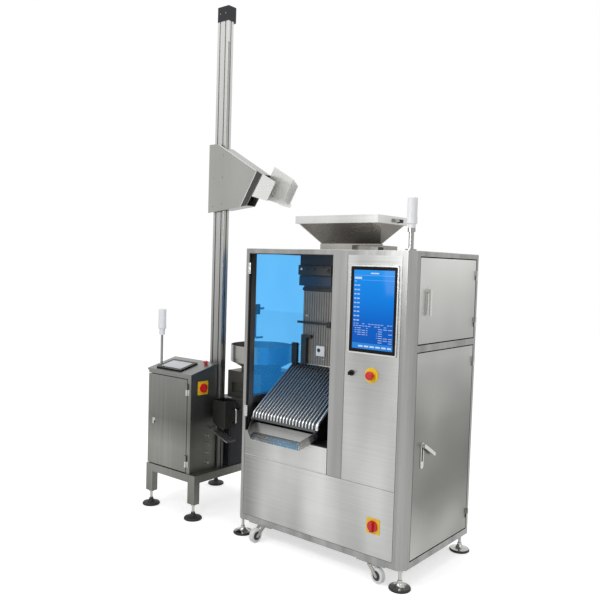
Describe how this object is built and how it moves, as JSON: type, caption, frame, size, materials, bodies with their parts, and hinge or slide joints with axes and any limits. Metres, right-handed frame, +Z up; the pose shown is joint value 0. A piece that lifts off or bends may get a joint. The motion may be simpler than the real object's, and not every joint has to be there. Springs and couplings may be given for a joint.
{
  "type": "checkweigher",
  "caption": "Stainless counting and weighing cabinet with sloped channel bed, hopper, screen and side doors, fed by a bucket hoist and a vibrating bowl.",
  "frame": {"origin": "on the floor under the middle of the whole plant's outline", "axes": "+Z up, +X to the cabinet's right side door seen from the operator's front, +Y away from the operator"},
  "size_m": [1.867, 0.7759, 3.0315],
  "materials": {
    "stainless": "fine vertical brush, fingerprints",
    "stainless_shade": "fine brush, darker olive grey",
    "polished_steel": "polished, soft reflections",
    "column_profile": "satin anodised",
    "blue_acrylic": "glossy tinted sheet",
    "black_plastic": "fine grain",
    "dark_metal": "semi matte",
    "white_plastic": "smooth",
    "red_plastic": "smooth",
    "yellow_plastic": "smooth",
    "screen": "lit display"
  },
  "bodies": {
    "plant": {"bay_deck": "stainless", "bay_divider": "stainless", "beacons": "white_plastic", "bed_carriers": "dark_metal", "cable_glands": "black_plastic", "catch_tray": "stainless", "channel_bed": "polished_steel", "channel_ridges": "polished_steel", "chute_head": "stainless", "chute_spout": "stainless", "column": "column_profile", "column_cap": "column_profile", "control_panel": "black_plastic", "cover_strip": "polished_steel", "discharge_tray": "stainless", "drive_housing": "dark_metal", "drop_chute": "dark_metal", "feed_bowl": "polished_steel", "feeder_box": "dark_metal", "feeder_bracket": "stainless", "floor_plate": "stainless", "frame_hinges": "stainless", "frame_posts": "stainless", "frame_rails": "stainless", "hook_handle": "polished_steel", "hopper": "stainless", "hopper_clamps": "stainless", "hopper_neck": "stainless", "key_switch": "polished_steel", "levelling_feet": "polished_steel", "lift_legs": "stainless", "lift_rails": "stainless", "pedestal_body": "stainless", "red_knobs": "red_plastic", "roof_plate": "stainless", "screen_panel": "stainless", "side_window": "blue_acrylic", "skin_panels": "stainless", "touch_screen": "screen", "window_latch": "stainless_shade", "yellow_plates": "yellow_plastic"},
    "upper_door_leaf": {"upper_door": "stainless_shade", "upper_handle": "stainless"},
    "lower_door_leaf": {"lower_door": "stainless_shade", "lower_handle": "stainless"},
    "lever": {"lower_lever": "polished_steel"},
    "pedestal_door_leaf": {"pedestal_door": "stainless"},
    "carriage": {"lift_carriage": "stainless", "hoist_bucket": "stainless"},
    "swivel_front_left": {"caster_fork_front_left": "polished_steel"},
    "wheel_front_left": {"caster_wheel_front_left": "white_plastic"},
    "swivel_rear_left": {"caster_fork_rear_left": "polished_steel"},
    "wheel_rear_left": {"caster_wheel_rear_left": "white_plastic"},
    "swivel_front_right": {"caster_fork_front_right": "polished_steel"},
    "wheel_front_right": {"caster_wheel_front_right": "white_plastic"},
    "swivel_rear_right": {"caster_fork_rear_right": "polished_steel"},
    "wheel_rear_right": {"caster_wheel_rear_right": "white_plastic"}
  },
  "joints": [
    {"name": "upper_door_hinge", "type": "hinge", "parent": "plant", "child": "upper_door_leaf", "pos_m": [0.9145, 0.3395, 1.3605], "axis": [0, 0, 1], "range_deg": [0, 110]},
    {"name": "lower_door_hinge", "type": "hinge", "parent": "plant", "child": "lower_door_leaf", "pos_m": [0.9145, 0.3395, 0.623], "axis": [0, 0, 1], "range_deg": [0, 110]},
    {"name": "door_lever_turn", "type": "hinge", "parent": "lower_door_leaf", "child": "lever", "pos_m": [0.9125, -0.173, 0.6705], "axis": [1, 0, 0], "range_deg": [-60, 30]},
    {"name": "pedestal_door_hinge", "type": "hinge", "parent": "plant", "child": "pedestal_door_leaf", "pos_m": [-0.555, -0.352, 0.5415], "axis": [0, 0, 1], "range_deg": [0, 110]},
    {"name": "carriage_lift", "type": "slide", "parent": "plant", "child": "carriage", "axis": [0, 0, 1], "range_m": [0, 1.1]},
    {"name": "swivel_turn_front_left", "type": "hinge", "parent": "plant", "child": "swivel_front_left", "pos_m": [0.0135, -0.297, 0.0872], "axis": [0, 0, 1], "continuous": true},
    {"name": "swivel_turn_rear_left", "type": "hinge", "parent": "plant", "child": "swivel_rear_left", "pos_m": [0.0135, 0.303, 0.0872], "axis": [0, 0, 1], "continuous": true},
    {"name": "swivel_turn_front_right", "type": "hinge", "parent": "plant", "child": "swivel_front_right", "pos_m": [0.7285, -0.297, 0.0872], "axis": [0, 0, 1], "continuous": true},
    {"name": "swivel_turn_rear_right", "type": "hinge", "parent": "plant", "child": "swivel_rear_right", "pos_m": [0.7285, 0.303, 0.0872], "axis": [0, 0, 1], "continuous": true},
    {"name": "wheel_turn_front_left", "type": "hinge", "parent": "swivel_front_left", "child": "wheel_front_left", "pos_m": [0.00958, -0.34183, 0.041], "axis": [-0.9962, 0.0872, 0], "continuous": true},
    {"name": "wheel_turn_rear_left", "type": "hinge", "parent": "swivel_rear_left", "child": "wheel_rear_left", "pos_m": [-0.02547, 0.3255, 0.041], "axis": [0.5, 0.866, 0], "continuous": true},
    {"name": "wheel_turn_front_right", "type": "hinge", "parent": "swivel_front_right", "child": "wheel_front_right", "pos_m": [0.77252, -0.30636, 0.041], "axis": [-0.2079, -0.9781, 0], "continuous": true},
    {"name": "wheel_turn_rear_right", "type": "hinge", "parent": "swivel_rear_right", "child": "wheel_rear_right", "pos_m": [0.76297, 0.33193, 0.041], "axis": [0.6428, -0.766, 0], "continuous": true}
  ]
}
